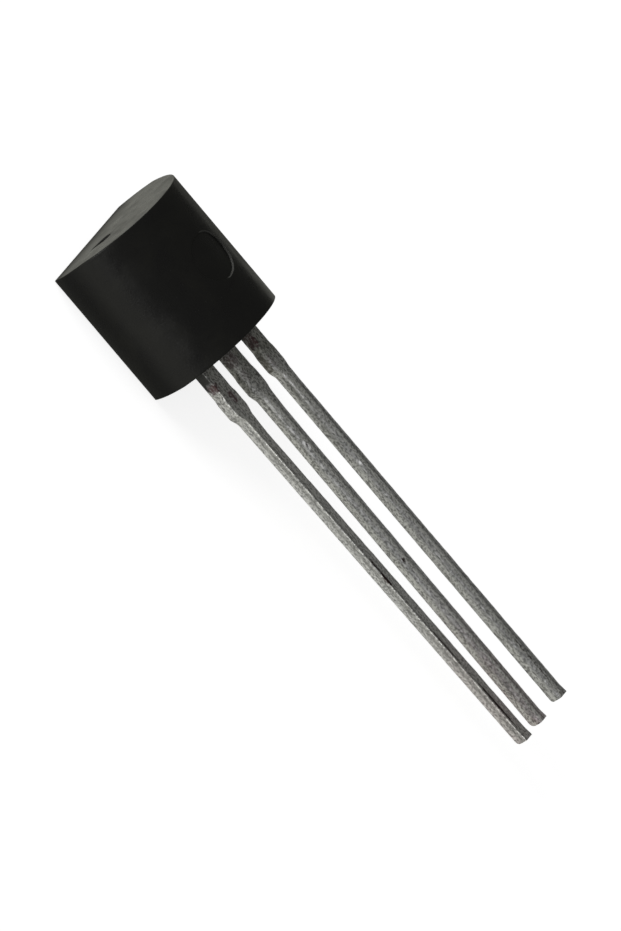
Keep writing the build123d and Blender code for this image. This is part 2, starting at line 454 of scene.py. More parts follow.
@dataclass
class Skin:
    """Points, faces and painted masks of one closed piece, in millimetres."""

    points: list[Vector] = field(default_factory=list)
    faces: list[tuple[int, ...]] = field(default_factory=list)
    masks: dict[str, dict[int, float]] = field(default_factory=dict)

    def point(self, place: Sequence[float], **painted: float) -> int:
        """Add a point.

        Args:
            place: where it is.
            painted: masks and how strongly each is painted there.

        Returns:
            Its number.
        """
        number = len(self.points)
        self.points.append(Vector(place))
        for name, strength in painted.items():
            self.masks.setdefault(name, {})[number] = strength
        return number

    def sheet(
        self, rows: Sequence[Sequence[int]], hole: Hole | None = None, closed: bool = False
    ) -> list[int]:
        """Join rows of points with quads.

        Args:
            rows: the rows, all of the same length.
            hole: first and last row, then first and last column, of a hole to leave.
            closed: whether the rows run round to their start.

        Returns:
            The points round the hole.
        """
        first, last, left, right = hole or (0, 0, 0, 0)
        for i, (low, high) in enumerate(zip(rows, rows[1:])):
            quads = zip(neighbours(low, closed), neighbours(high, closed))
            for j, ((a, b), (c, d)) in enumerate(quads):
                if not (first <= i < last and left <= j < right):
                    self.faces.append((a, b, d, c))
        return [
            *(rows[first][j] for j in range(left, right)),
            *(rows[i][right] for i in range(first, last)),
            *(rows[last][j] for j in range(right, left, -1)),
            *(rows[i][left] for i in range(last, first, -1)),
        ]

    def fan(self, row: Sequence[int], tip: int, closed: bool = False) -> None:
        """Join a row of points to one point with triangles."""
        self.faces += [(a, b, tip) for a, b in neighbours(row, closed)]

    def make(self, name: str, node: str, finish: Material, slot: str) -> Object:
        """Turn the skin into an object that stands for a CAD node.

        Args:
            name: name of the piece.
            node: the CAD node that it stands for.
            finish: its material.
            slot: name of a material slot; not used.

        Returns:
            The object.
        """
        sheet = bmesh.new()
        layers = {mask: sheet.verts.layers.float.new(mask) for mask in self.masks}
        used = sorted({i for face in self.faces for i in face})
        corners = {i: sheet.verts.new(self.points[i] * MM) for i in used}
        for face in self.faces:
            sheet.faces.new([corners[i] for i in face])
        for mask, painted in self.masks.items():
            for number in painted.keys() & corners.keys():
                corners[number][layers[mask]] = painted[number]
        bmesh.ops.recalc_face_normals(sheet, faces=sheet.faces)
        for face in sheet.faces:
            face.smooth = True
        for edge in sheet.edges:
            edge.smooth = edge.calc_face_angle(0.0) < SHARP
        mesh = bpy.data.meshes.new(name)
        sheet.to_mesh(mesh)
        sheet.free()
        mesh.materials.append(finish)
        piece = bpy.data.objects.new(name, mesh)
        bpy.context.collection.objects.link(piece)
        piece.modifiers.new("even_shading", "WEIGHTED_NORMAL").keep_sharp = True
        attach(piece, BODY)
        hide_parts(node)
        return piece


@dataclass
class Dish:
    """Sink in a face, whose rings run from the outside in and close at the centre.

    A ring is a radius, a depth and a strength of the mask. The sink leans, is as
    slim as given and tapers; tilt and paint are the shares of depth and mask in a
    direction, middle is that of depth at the centre, and wobble and tear are the
    unevenness of radii and depths.
    """

    mask: str
    centre: Pair
    rings: Sequence[Triple]
    place: Callable[[float, float, float], Vector]
    plan: Callable[[Vector], Pair]
    tilt: Callable[[float], float]
    paint: Callable[[float], float] = lambda turn: 1.0
    middle: float = 1.0
    lean: float = 0.0
    slim: float = 1.0
    taper: float = 0.0
    wobble: float = 0.0
    tear: float = 0.0
    approach: Pair = (0.35, 0.7)

    def rim(self, turn: float, radius: float) -> Pair:
        """A point of a ring.

        Args:
            turn: direction from the centre, in radians.
            radius: half of the ring's long axis.

        Returns:
            Its place on the face.
        """
        along, across = ray(turn - self.lean)
        across = across * self.slim * (1.0 + self.taper * along)
        c, s = ray(self.lean)
        a, b = self.centre
        return a + radius * (along * c - across * s), b + radius * (along * s + across * c)

    def sink(self, skin: Skin, loop: list[int]) -> None:
        """Fill a loop of the face with the sink.

        Args:
            skin: the skin that has the loop.
            loop: the points round the hole in the face.
        """
        edge = [self.plan(skin.points[i]) for i in loop]
        turns = [math.atan2(b - self.centre[1], a - self.centre[0]) for a, b in edge]
        widest = self.rings[0][0]
        rows = [loop]
        for share in self.approach:
            row = []
            for (a, b), turn in zip(edge, turns):
                ring_a, ring_b = self.rim(turn, widest)
                place = self.place(a + (ring_a - a) * share, b + (ring_b - b) * share, 0.0)
                row.append(skin.point(place))
            rows.append(row)
        for radius, depth, strength in self.rings[:-1]:
            share = min(1.0, radius / widest)
            row = []
            for turn in turns:
                uneven = 1.0 + self.wobble * rough(Vector((*ray(turn), 0.0)) * 2.2, 1.0, 4.0)
                a, b = self.rim(turn, radius * uneven)
                torn = 1.0 + self.tear * rough((a * 3.0, b * 3.0, 0.0), 1.0, 9.0)
                sunk = torn * (self.middle + (self.tilt(turn) - self.middle) * share)
                painted = {self.mask: strength * self.paint(turn)}
                row.append(skin.point(self.place(a, b, depth * sunk), **painted))
            rows.append(row)
        skin.sheet(rows, closed=True)
        _, depth, strength = self.rings[-1]
        tip = skin.point(self.place(*self.centre, depth * self.middle), **{self.mask: strength})
        skin.fan(rows[-1], tip, closed=True)


# ---- housing


@dataclass
class Housing:
    """Black epoxy body with its draft, parting step, ejector mark and gate scar.

    The drafts are those of the top end and the seat end, below and above the
    parting line, in degrees. The rings of the mark go out from its radius, and
    those of the scar are shares of its radius and depth. A painted highlight runs
    round the far side of the mark's rim.
    """

    parting: float = 1.46
    drafts: tuple[Pair, ...] = ((2.0, 1.6), (2.1, 0.7))
    edge: float = 0.018
    flat_corner: float = 0.025
    ledge: float = 0.003
    ledge_reach: float = 0.03
    ledge_end: float = 0.045
    pin_radius: float = 0.78
    pin_depth: float = 0.07
    pin_margin: float = 0.22
    pin_middle: float = 0.53
    pin_askew: float = math.radians(68.0)
    # Direction in which the rim of the ejector mark carries its painted highlight.
    pin_highlight_turn: float = math.radians(80.0)
    # Rings of the ejector mark: distance out from its radius, share of depth, strength of the
    # painted rim highlight.
    pin_rim: tuple[Triple, ...] = (
        (0.09, 0.0, 0.0), (0.045, 0.0, 0.0), (0.024, 0.0, 0.5), (0.010, 0.02, 1.0),
        (0.002, 0.12, 1.0), (-0.002, 0.35, 1.0), (-0.006, 0.70, 1.0), (-0.012, 0.94, 0.8),
        (-0.022, 1.0, 0.2), (-0.06, 1.0, 0.0),
    )
    pin_floor: tuple[float, ...] = (0.75, 0.50, 0.25, 0.0)
    gate: Pair = (-1.10, 1.51)
    gate_radius: float = 0.34
    gate_depth: float = 0.13
    gate_margin: float = 0.16
    gate_lean: float = math.radians(45.0)
    gate_rings: tuple[Triple, ...] = (
        (1.22, 0.0, 0.2), (1.10, 0.0, 0.4), (1.02, 0.002 / 0.13, 0.7), (0.99, 0.14, 1.0),
        (0.97, 0.40, 1.0), (0.95, 0.70, 1.0), (0.92, 0.92, 1.0), (0.86, 1.0, 1.0),
        (0.70, 0.94, 1.0), (0.52, 0.98, 1.0), (0.34, 0.92, 1.0), (0.16, 0.96, 1.0),
        (0.0, 0.95, 1.0),
    )
    across: int = 80
    stations: int = 84
    skin: Skin = field(default_factory=Skin)

    def __post_init__(self) -> None:
        """Take the overall sizes from the CAD box of the body."""
        low, high = (Vector(corner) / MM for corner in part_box("moulded_body"))
        self.ends_x = low.x, high.x
        self.radius = (high.y - low.y) / 2
        self.axis = high.z - self.radius
        self.half = self.section()
        self.rise = len(self.half) - 1

    def section(self) -> list[tuple[float, float, float, float]]:
        """Right half of the D section from the flat to the crown.

        Returns:
            Place (y, z) and outward direction (y, z) of each point.
        """
        r, c, axis = self.radius, self.flat_corner, self.axis
        centre_y = math.sqrt((r - c) ** 2 - (axis - c) ** 2)
        low_turn = math.atan2(c - axis, centre_y)
        corner = map(ray, spread(-QUARTER, low_turn, 5))
        lower = map(ray, spread(low_turn, 0.0, 20)[1:])
        points = [(centre_y + c * y, c + c * z, y, z) for y, z in corner]
        points += [(r * y, axis + r * z, y, z) for y, z in lower]
        for z in spread(axis, self.parting - self.ledge_reach, 6)[1:]:
            out = ray(math.asin((z - axis) / r))
            proud = self.ledge * (z - axis) / (self.parting - axis)
            points.append((r * out[0] + proud, z, *out))
        out = ray(math.asin((self.parting - axis) / r))
        for share in spread(0.0, 1.0, 5)[1:-1]:
            z = self.parting + self.ledge_reach * (2.0 * share - 1.0)
            proud = self.ledge * (1.0 + math.cos(math.pi * share)) / 2
            points.append((r * math.cos(math.asin((z - axis) / r)) + proud, z, *out))
        start = math.asin((self.parting + self.ledge_end - axis) / r)
        upper = map(ray, spread(start, QUARTER, 76))
        return points + [(r * y, axis + r * z, y, z) for y, z in upper]

    def end_x(self, z: float, end: int) -> float:
        """Where the drafted top end face (0) or seat end face (1) is at a height."""
        lean = math.tan(math.radians(self.drafts[end][z >= self.parting]))
        return self.ends_x[end] + (1 - 2 * end) * abs(z - self.parting) * lean

    def loops(self) -> list[list[Triple]]:
        """Loops of points round the section, one for each station along the body.

        Returns:
            The loops, whose edges are rounded at both ends.
        """
        corner_y, corner_z = self.half[0][:2]
        flat = [(y, corner_z, 0.0, -1.0) for y in spread(-corner_y, corner_y, self.across)]
        mirrored = [(-y, z, -out_y, out_z) for y, z, out_y, out_z in self.half]
        section = flat + self.half[1:] + mirrored[-2:0:-1]
        rounding = spread(0.0, QUARTER, 4)
        steps = [(0.0, turn) for turn in rounding]
        steps += [(share, QUARTER) for share in spread(0.0, 1.0, self.stations)[1:-1]]
        steps += [(1.0, turn) for turn in reversed(rounding)]
        loops = []
        for share, turn in steps:
            sunk, inset = (self.edge * (1.0 - part) for part in ray(turn))
            loop = []
            for y, z, out_y, out_z in section:
                y_in, z_in = y - out_y * inset, z - out_z * inset
                first, last = self.end_x(z_in, 0) + sunk, self.end_x(z_in, 1) - sunk
                loop.append((first + (last - first) * share, y_in, z_in))
            loops.append(loop)
        return loops

    def back_place(self, x: float, y: float, depth: float) -> Vector:
        """Place on the round back, or under it at a share of the depth of the mark."""
        radius = self.radius - self.pin_depth * depth
        return Vector((x, y, self.axis + math.sqrt(max(0.0, radius**2 - y * y))))

    def top_place(self, y: float, z: float, depth: float) -> Vector:
        """Place on the top end face, sunk by a depth in millimetres."""
        return Vector((self.end_x(z, 0) + max(depth, 0.0), y, z))

    def pin_tilt(self, turn: float) -> float:
        """Share of its depth that the ejector mark has in a direction, set askew."""
        return self.pin_middle + (1.0 - self.pin_middle) * math.cos(turn - self.pin_askew)

    def pin_highlight(self, turn: float) -> float:
        """How strongly the painted highlight on the rim of the ejector mark shows in a direction.
        """
        share = clamp((math.cos(turn - self.pin_highlight_turn) + 0.22) / 0.40)
        return share * share * (3.0 - 2.0 * share)

    def gate_tilt(self, turn: float) -> float:
        """Share of its depth that the gate scar has in a direction, torn from one end."""
        return 0.75 + 0.25 * math.cos(turn - self.gate_lean)

    def build(self, finish: Material) -> Object:
        """Build the housing.

        Args:
            finish: its material.

        Returns:
            The piece.
        """
        rows = [[self.skin.point(place) for place in loop] for loop in self.loops()]
        self._wall(rows)
        self._end(rows[0], True)
        self._end(rows[-1], False)
        return self.skin.make("housing", "moulded_body", finish, "moulded_body")

    def _wall(self, rows: list[list[int]]) -> None:
        """Join the loops, and sink the ejector mark into the back.

        Args:
            rows: the points of the loops.
        """
        points, r = self.skin.points, self.pin_radius
        reach = r + self.pin_margin
        crown = self.across + self.rise
        middle = rows[len(rows) // 2]
        aside = next(k for k in range(self.rise) if points[middle[crown - k]].y > reach)
        first = next(i for i, row in enumerate(rows) if points[row[crown]].x > -reach)
        hole = (first, len(rows) - 1 - first, crown - aside, crown + aside)
        loop = self.skin.sheet(rows, hole, closed=True)
        # The ejector mark, with a painted highlight on the far side of its rim.
        dish = Dish(
            "rubbed",
            (0.0, 0.0),
            [(r + out, depth, strength) for out, depth, strength in self.pin_rim]
            + [(r * share, 1.0, 0.0) for share in self.pin_floor],
            self.back_place,
            lambda point: (point.x, point.y),
            self.pin_tilt,
            self.pin_highlight,
            self.pin_middle,
            wobble=0.012,
        )
        dish.sink(self.skin, loop)

    def _end(self, ring: list[int], top: bool) -> None:
        """Fill an end face in rows between its two sides, with the gate scar on top.

        Args:
            ring: the points round the face.
            top: the top end, and not the seat end.
        """
        grid = [ring[: self.across + 1]]
        for k in range(1, self.rise):
            right, left = ring[self.across + k], ring[-k]
            a, b = self.skin.points[left], self.skin.points[right]
            inner = [self.skin.point(a.lerp(b, i / self.across)) for i in range(1, self.across)]
            grid.append([left, *inner, right])
        loop = self.skin.sheet(grid, self._gate_hole(grid) if top else None)
        self.skin.fan(grid[-1], ring[self.across + self.rise])
        if top:
            self._gate_scar(loop)

    def _gate_hole(self, grid: list[list[int]]) -> Hole:
        """Find the rows and columns that the gate scar takes up.

        Args:
            grid: rows of points of the top end face.

        Returns:
            First and last row, first and last column.
        """
        points, reach = self.skin.points, self.gate_radius + self.gate_margin
        y, z = self.gate
        rows = [i for i, row in enumerate(grid) if abs(points[row[0]].z - z) < reach]
        middle = grid[(rows[0] + rows[-1]) // 2]
        columns = [j for j, n in enumerate(middle) if abs(points[n].y - y) < reach]
        return rows[0], rows[-1], columns[0], columns[-1]

    def _gate_scar(self, loop: list[int]) -> None:
        """Sink the torn scar of the gate into its hole.

        Args:
            loop: the points round the hole.
        """
        r, deepest = self.gate_radius, self.gate_depth
        dish = Dish(
            "torn",
            self.gate,
            [(r * out, deepest * depth, torn) for out, depth, torn in self.gate_rings],
            self.top_place,
            lambda point: (point.y, point.z),
            self.gate_tilt,
            lean=self.gate_lean,
            slim=0.52,
            taper=0.4,
            wobble=0.12,
            tear=0.5,
        )
        dish.sink(self.skin, loop)


# ---- leads


class Head(Enum):
    """What a lead ends in inside the body: x and y of two opposite corners."""

    LEFT_POST = (-0.7925, -1.82, 0.4575, -1.02)
    PADDLE = (-1.7225, -0.8, 0.1775, 0.8)
    RIGHT_POST = (-0.7925, 1.02, 0.4575, 1.82)


class LeadMark(StrEnum):
    """The masks of marks on a lead: rust, pits, bands of painted shade and painted highlight, and
    painted dent highlights.
    """

    RUST = "rust"
    PIT = "pit"
    WORN = "worn"
    POLISHED = "polished"
    DENT = "dent"


@dataclass(frozen=True)
class Spot:
    """A spot on a lead, of rust, a pit, or the painted highlight of a dent: its mask, x, offset
    from the row and half sizes.
    """

    lead_mark: LeadMark
    x: float
    aside: float
    length: float
    width: float
    strength: float = 1.0
    edge: float = 1.6

    def cover(self, x: float, aside: float) -> float:
        """How strongly the spot covers a place at this x and offset from the row."""
        reach = ((x - self.x) / self.length) ** 2 + ((aside - self.aside) / self.width) ** 2
        return self.strength * clamp(self.edge * (1.0 - reach))


@dataclass(frozen=True)
class Line:
    """A band of painted shade or painted highlight along a lead that dies out over its reach past
    the neck.

    Its place is the distance round the lead from the middle of its top, towards
    the left, and its width is half of the line's.
    """

    lead_mark: LeadMark
    place: float
    width: float
    strength: float
    reach: float = math.inf

    def cover(self, place: float, along: float) -> float:
        """How strongly the line covers a place round the lead and past its neck."""
        fade = max(0.0, 1.0 - max(0.0, along) / self.reach)
        return fade * self.strength * max(0.0, 1.0 - ((place - self.place) / self.width) ** 2)


@dataclass
class Lead:
    """One stamped and tinned lead, from its head inside the body to its sheared tip.

    The rolls are the radii of its left and right top edge, the crown is how far
    its top bulges, as an angle, and the masks from blush to resin are strengths.
    """

    node: str
    row: float
    width: float
    shoulder: float
    neck_shift: float
    tip_shift: float
    tip_roll: float
    head: Head
    seed: float
    lines: tuple[Line, ...]
    spots: tuple[Spot, ...]
    thickness: float = 0.37
    shear_slant: float = math.radians(1.5)
    dam_start: float = 1.17
    dam_length: float = 0.57
    dam_stub: float = 0.035
    dam_ramp: float = 0.12
    dam_margin: float = 0.03
    taper: float = 0.25
    swell: float = 0.05
    swell_length: float = 0.75
    blend: float = 0.09
    near_roll: float = 0.034
    far_roll: float = 0.034
    crown: float = 0.02
    nick: float = 0.35
    dip: float = 0.008
    waviness: float = 0.007
    wavy_neck: float = 0.5
    wavy_tip: float = 0.4
    blush: float = 0.0
    blush_length: float = 5.5
    blush_fade: float = 4.0
    tarnish_and_shade: float = 0.4
    staining: float = 1.0
    matt: float = 0.0
    resin: float = 1.0
    resin_reach: float = 0.78
    resin_fade: float = 0.16
    resin_ragged: float = 0.12
    resin_rolled: float = 0.6
    ridge_highlight_at: float = 0.35
    ridge_highlight_reach: float = 0.75
    bands_from: float = -0.2
    bands_fade: float = 0.8
    side_band: float = 0.012
    line_band: float = 0.04
    spot_band: float = 0.07
    rust_band: float = 0.08
    burr: float = 0.035
    burr_length: float = 0.3
    lock_radius: float = 0.09
    lock_depth: float = 0.75
    head_corner: float = 0.12
    closest: float = 0.0012
    skin: Skin = field(default_factory=Skin)

    def __post_init__(self) -> None:
        """Take the overall sizes from the CAD box of the lead."""
        low, high = (Vector(corner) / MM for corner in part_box(self.node))
        self.seat_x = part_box("moulded_body")[1][0] / MM
        self.start_x = low.x
        self.tip_x = high.x - self.width / 2 * math.tan(self.shear_slant)
        self.bottom = low.z
        self.top = low.z + self.thickness
        self.stub_x = self.seat_x + self.dam_start
        self.neck_x = self.stub_x + self.dam_length + self.taper
        self.lock_x = self.seat_x - self.lock_depth

    def rough(self, place: Triple, scale: float) -> float:
        """Noise of this lead from -1 to 1 at a place."""
        return rough(place, scale, self.seed)

    def half_width(self, x: float, swell: float = 0.0) -> float:
        """Half the width of the stamping outside its head, without tip or notches.

        Args:
            x: place along the lead.
            swell: how much fuller this side of the neck is.

        Returns:
            The half width.
        """
        shoulder = self.shoulder / 2
        stub = shoulder + self.dam_stub
        knots = [
            (self.stub_x - self.dam_ramp, shoulder),
            (self.stub_x, stub),
            (self.stub_x + self.dam_length, stub),
            (self.neck_x, self.width / 2 + swell),
            (self.neck_x + self.swell_length, self.width / 2),
        ]
        widths = []
        for share in (-0.8, -0.4, 0.0, 0.4, 0.8):
            place = min(max(x + self.blend * share, knots[0][0]), knots[-1][0])
            spans = zip(knots, knots[1:])
            (x0, w0), (x1, w1) = next(span for span in spans if place <= span[1][0])
            widths.append(w0 + (w1 - w0) * (place - x0) / (x1 - x0))
        return sum(widths) / len(widths)

    def centre(self, x: float) -> float:
        """Middle of the lead, which leans from the neck to the tip.

        Args:
            x: place along the lead.

        Returns:
            The y of the middle.
        """
        lean = max(0.0, x - self.neck_x) / (self.tip_x - self.neck_x)
        bend = clamp(1.0 - (self.neck_x - x) / self.taper)
        return self.row + self.neck_shift * bend + (self.tip_shift - self.neck_shift) * lean

    def sides(self, x: float) -> Pair:
        """Left and right edge of the stamping.

        Args:
            x: place along the lead.

        Returns:
            The lower and the higher y.
        """
        start, low, end, high = self.head.value
        if x <= end:
            short = self.head_corner - max(min(x - start, end - x), 0.0)
            if short > 0.0:
                cut = self.head_corner - math.sqrt(self.head_corner**2 - short**2)
                low, high = low + cut, high - cut
            if x > end - self.head_corner:
                low = min(low, self.row - self.shoulder / 2)
                high = max(high, self.row + self.shoulder / 2)
            return low, high
        notch = math.sqrt(max(0.0, self.lock_radius**2 - (x - self.lock_x) ** 2))
        from_neck, to_tip = (x - self.neck_x) / self.wavy_neck, (self.tip_x - x) / self.wavy_tip
        fade = clamp(from_neck) * min(1.0, to_tip)
        uneven = self.waviness * fade
        low = self.centre(x) - self.half_width(x) + notch
        high = self.centre(x) + self.half_width(x, self.swell) - notch
        low += uneven * abs(self.rough((x, 0.0, 0.0), 1.3))
        high -= uneven * abs(self.rough((x, 5.0, 0.0), 1.3))
        return low, high

    def levels(self, x: float) -> Pair:
        """Bottom and top of the strip, with the rolled and flared edges of the tip.

        Args:
            x: place along the lead.

        Returns:
            The lower and the higher z.
        """
        to_tip = max(0.0, self.tip_x - x)
        short = max(0.0, self.tip_roll - to_tip)
        rolled = self.tip_roll - math.sqrt(self.tip_roll**2 - short**2)
        flared = self.burr * max(0.0, 1.0 - to_tip / self.burr_length)
        return self.bottom + rolled, self.top + flared

    def stations(self) -> list[float]:
        """Places along the lead where its outline is taken.

        Returns:
            The x of each, in order.
        """
        start, _, end, _ = self.head.value
        corner = self.head_corner
        places = {self.start_x, self.tip_x, end + 0.004}
        for turn in spread(0.0, QUARTER, 6):
            share = 1.0 - math.cos(turn)
            places |= {start + corner * share, end - corner * share}
            places.add(self.tip_x - self.tip_roll * share)
        lock = (self.lock_x + self.lock_radius * math.cos(t) for t in spread(0.0, math.pi, 10))
        places.update(
            lock,
            spread(start + corner, end - corner, 8),
            spread(end + 0.05, self.seat_x + 0.6, 14),
            spread(self.seat_x + 0.64, self.neck_x + 0.2, 56),
            spread(self.neck_x + 0.24, self.tip_x - self.tip_roll - 0.02, 200),
        )
        ordered = sorted(places)
        kept = [ordered[0]]
        for x in ordered[1:-1]:
            if x - kept[-1] > self.closest and self.tip_x - x > self.closest:
                kept.append(x)
        return [*kept, ordered[-1]]

    def ring(self, x: float) -> list[tuple[float, float, float, float]]:
        """Points round the stamping at a station.

        Args:
            x: place along the lead.

        Returns:
            Place (x, y, z) of each point, and how much it belongs to a rolled edge.
        """
        low, high = self.sides(x)
        bottom, top = self.levels(x)
        near, far, dip, bow = self.far_roll, self.far_roll, 0.0, 0.0
        if x > self.seat_x:
            near = self.near_roll * (1.0 + self.nick * self.rough((x, 0.0, 3.0), 2.6))
            far = self.far_roll * (1.0 + self.nick * self.rough((x, 9.0, 3.0), 2.6))
            dip = self.dip * abs(self.rough((x, 2.0, 8.0), 1.7))
            bow = self.crown
        start = low + near * (1.0 - math.sin(bow))
        end = high - far * (1.0 - math.sin(bow))
        sag = (end - start) * math.tan(bow) / 4.0
        near_z = top - sag - near * math.cos(bow)
        far_z = top - sag - far * math.cos(bow)
        points = [(y, bottom, 0.0) for y in spread(low, high, 6)[:-1]]
        points += [(high, z, 0.0) for z in spread(bottom, far_z, 6)[:-1]]
        for c, s in map(ray, spread(0.0, QUARTER - bow, 4)):
            points.append((high - far + far * c, far_z + far * s, 1.0))
        for t in spread(0.0, 1.0, 8)[1:-1]:
            z = top - sag * (2.0 * t - 1.0) ** 2 - dip * math.sin(math.pi * t)
            points.append((end + (start - end) * t, z, 0.0))
        for c, s in map(ray, spread(QUARTER + bow, math.pi, 6)):
            points.append((low + near + near * c, near_z + near * s, 1.0))
        points += [(low, z, 0.0) for z in spread(near_z, bottom, 9)[1:-1]]
        slant = math.tan(self.shear_slant) if self.tip_x - x < self.tip_roll else 0.0
        middle = self.centre(x)
        return [(x + (y - middle) * slant, y, z, rolled) for y, z, rolled in points]

    def paint(self, x: float, y: float, z: float, rolled: float) -> dict[str, float]:
        """How strongly each mask is painted on a point.

        Args:
            x: its station along the lead.
            y: its place across the lead.
            z: its height.
            rolled: how much it belongs to a rolled edge.

        Returns:
            The strength of each mask.
        """
        past_seat, past_neck = x - self.seat_x, x - self.neck_x
        aside = y - self.centre(x)
        left = aside < 0.0
        side = abs(abs(aside) - self.half_width(x)) < self.side_band and not rolled
        on_stub = 0.0 < x - self.stub_x + self.dam_margin < self.dam_length + 2 * self.dam_margin
        film = 0.0
        if side or rolled:
            ragged = self.resin_ragged * self.rough((x, y * 3.0, z * 3.0), 2.0)
            film = clamp((self.resin_reach + ragged - past_seat) / self.resin_fade)
            film *= self.resin if side else self.resin_rolled * self.resin
        masks = {
            # Strength of the painted highlight dotted along rolled edges, less on leads with a wide
            # near roll.
            "rolled": rolled * min(1.0, self.far_roll / self.near_roll),
            "stain": self.staining * (1.0 - clamp(past_seat - 1.0)),
            "film": film,
            # Painted highlight on the left rolled edge just past the neck.
            "shine": rolled * left * clamp(1.0 - abs(past_neck - self.ridge_highlight_at) / self.ridge_highlight_reach),
            "blush": self.blush * clamp((x - self.tip_x + self.blush_length) / self.blush_fade),
            "matt": self.matt,
            # Dull sheared colour on the stub's sides, stronger on the centre and right lead: cut
            # metal, and partly painted shade from the neighbouring lead.
            "sheared": self.tarnish_and_shade if on_stub and side else 0.0,
        }
        masks |= {lead_mark.value: 0.0 for lead_mark in LeadMark}
        for spot in self.spots:
            rusty = spot.lead_mark is LeadMark.RUST
            if z > (self.bottom + self.rust_band if rusty else self.top - self.spot_band):
                masks[spot.lead_mark] = max(masks[spot.lead_mark], spot.cover(x, aside))
        # Bands of painted shade and painted highlight along the lead, fading in past the neck.
        if left or z > self.top - self.line_band:
            drawn = clamp((past_neck - self.bands_from) / self.bands_fade)
            for line in self.lines:
                cover = drawn * line.cover(self.top - z - aside, past_neck)
                masks[line.lead_mark] = max(masks[line.lead_mark], cover)
        return masks

    def build(self, finish: Material) -> Object:
        """Build the lead.

        Args:
            finish: its material.

        Returns:
            The piece.
        """
        rows = []
        for x in self.stations():
            row = []
            for *place, rolled in self.ring(x):
                row.append(self.skin.point(place, **self.paint(x, *place[1:], rolled)))
            rows.append(row)
        self.skin.sheet(rows, closed=True)
        self._cap(rows[0], 0.0)
        self._cap(rows[-1], 1.0)
        return self.skin.make(f"{self.node}_tinned", self.node, finish, "lead_frame")

    def _cap(self, ring: list[int], torn: float) -> None:
        """Close an end with rings that shrink to its middle, torn at a sheared tip.

        Args:
            ring: the points round the end.
            torn: how rough the end is.
        """
        corners = [self.skin.points[i] for i in ring]
        middle = sum(corners, Vector()) / len(corners)
        rows = [ring]
        for share in (0.08, 0.3, 0.55, 0.8):
            row = []
            for corner in corners:
                place = corner.lerp(middle, share)
                place.x -= torn * 0.02 * abs(self.rough(place, 7.0))
                row.append(self.skin.point(place, sheared=torn))
            rows.append(row)
        self.skin.sheet(rows, closed=True)
        middle.x -= torn * 0.01
        self.skin.fan(rows[-1], self.skin.point(middle, sheared=torn), closed=True)


# Each lead's lines are bands of painted shade and painted highlight along it; its spots are rust,
# pits and painted dent highlights.
LEFT_LINES = (
    Line(LeadMark.WORN, 0.125, 0.05, 0.35),
    Line(LeadMark.WORN, 0.24, 0.05, 0.30),
    Line(LeadMark.WORN, 0.31, 0.08, 0.50),
)
LEFT_SPOTS = (
    Spot(LeadMark.RUST, 3.02, -0.28, 0.22, 0.17),
    Spot(LeadMark.RUST, 3.58, 0.03, 0.28, 0.15),
    Spot(LeadMark.PIT, 6.4, -0.115, 3.4, 0.045, 0.35),
    Spot(LeadMark.PIT, 9.8, -0.115, 6.8, 0.055, 0.42),
    Spot(LeadMark.PIT, 10.10, -0.12, 0.34, 0.05, 0.8),
    Spot(LeadMark.PIT, 10.65, -0.13, 0.36, 0.06),
    Spot(LeadMark.PIT, 13.3, -0.11, 1.0, 0.05, 0.75),
    Spot(LeadMark.PIT, 15.6, -0.10, 1.2, 0.06, 0.8),
)
CENTRE_LINES = (
    Line(LeadMark.WORN, -0.055, 0.05, 0.45),
    Line(LeadMark.POLISHED, 0.065, 0.06, 0.75),
    Line(LeadMark.WORN, 0.26, 0.09, 0.28),
    Line(LeadMark.POLISHED, 0.43, 0.09, 0.45),
    Line(LeadMark.POLISHED, 0.26, 0.045, 0.9, 4.5),
    Line(LeadMark.WORN, 0.35, 0.06, 0.5, 4.5),
)
CENTRE_SPOTS = (
    Spot(LeadMark.RUST, 2.86, -0.20, 0.36, 0.24, 0.65),
    Spot(LeadMark.RUST, 3.50, -0.18, 0.28, 0.14, 0.45),
    Spot(LeadMark.DENT, 6.31, -0.10, 0.11, 0.035),
    Spot(LeadMark.PIT, 6.23, -0.12, 0.10, 0.03, 0.7),
    Spot(LeadMark.DENT, 6.14, -0.15, 0.08, 0.035, 0.8),
    Spot(LeadMark.PIT, 10.70, -0.13, 0.15, 0.05, 0.8),
)
RIGHT_LINES = (
    Line(LeadMark.WORN, -0.065, 0.055, 0.60),
    Line(LeadMark.POLISHED, 0.065, 0.06, 0.70),
    Line(LeadMark.WORN, 0.25, 0.10, 0.45),
    Line(LeadMark.POLISHED, 0.41, 0.07, 0.25),
    Line(LeadMark.POLISHED, 0.22, 0.05, 1.0, 4.5),
    Line(LeadMark.WORN, 0.34, 0.12, 0.7, 4.5),
)
RIGHT_SPOTS = (
    Spot(LeadMark.RUST, 3.00, -0.24, 0.32, 0.14, 0.85),
    Spot(LeadMark.RUST, 3.80, -0.20, 0.30, 0.10, 0.6),
    Spot(LeadMark.DENT, 7.84, -0.155, 0.09, 0.035),
    Spot(LeadMark.PIT, 15.5, -0.05, 1.7, 0.07, 0.6),
    Spot(LeadMark.PIT, 17.05, 0.05, 0.35, 0.30, 0.45),
)


# ---- inner parts


